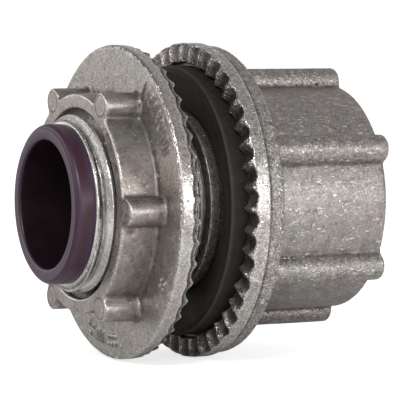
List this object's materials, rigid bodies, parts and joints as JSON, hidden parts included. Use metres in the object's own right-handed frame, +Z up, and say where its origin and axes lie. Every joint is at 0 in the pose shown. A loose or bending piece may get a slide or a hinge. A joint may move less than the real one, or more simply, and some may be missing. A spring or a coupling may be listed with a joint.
{
  "type": "watertight conduit hub",
  "caption": "Die-cast zinc conduit hub with a ribbed threaded socket, toothed flange, rubber gasket, lugged locknut and plastic throat bushing, to join conduit to an enclosure wall.",
  "frame": {"origin": "on the fitting's axis, in the plane of the hub's tooth crests, which is where the enclosure wall's outside face lies", "axes": "+X along the fitting's axis, out of the conduit socket; -X towards the nipple and the inside of the enclosure; +Z up"},
  "size_m": [0.0386, 0.0377, 0.0376],
  "materials": {
    "cast_zinc": "cast, satin",
    "nut_zinc": "cast, satin",
    "throat_plastic": "satin",
    "gasket_rubber": "matt"
  },
  "bodies": {
    "hub": {"hub_body": "cast_zinc", "throat_bushing": "throat_plastic"},
    "gasket": {"sealing_gasket": "gasket_rubber"},
    "locknut": {"locknut": "nut_zinc"}
  },
  "joints": [
    {"name": "gasket_spin", "type": "hinge", "parent": "hub", "child": "gasket", "pos_m": [0, 0, 0], "axis": [1, 0, 0], "range_deg": [-1800, 950]},
    {"name": "nut_travel", "type": "slide", "parent": "gasket", "child": "locknut", "axis": [1, 0, 0], "range_m": [-0.0091, 0.0048]}
  ],
  "couplings": [
    {"joint": "nut_travel", "follows": "gasket_spin", "m_per_rad": 0.00028875}
  ]
}
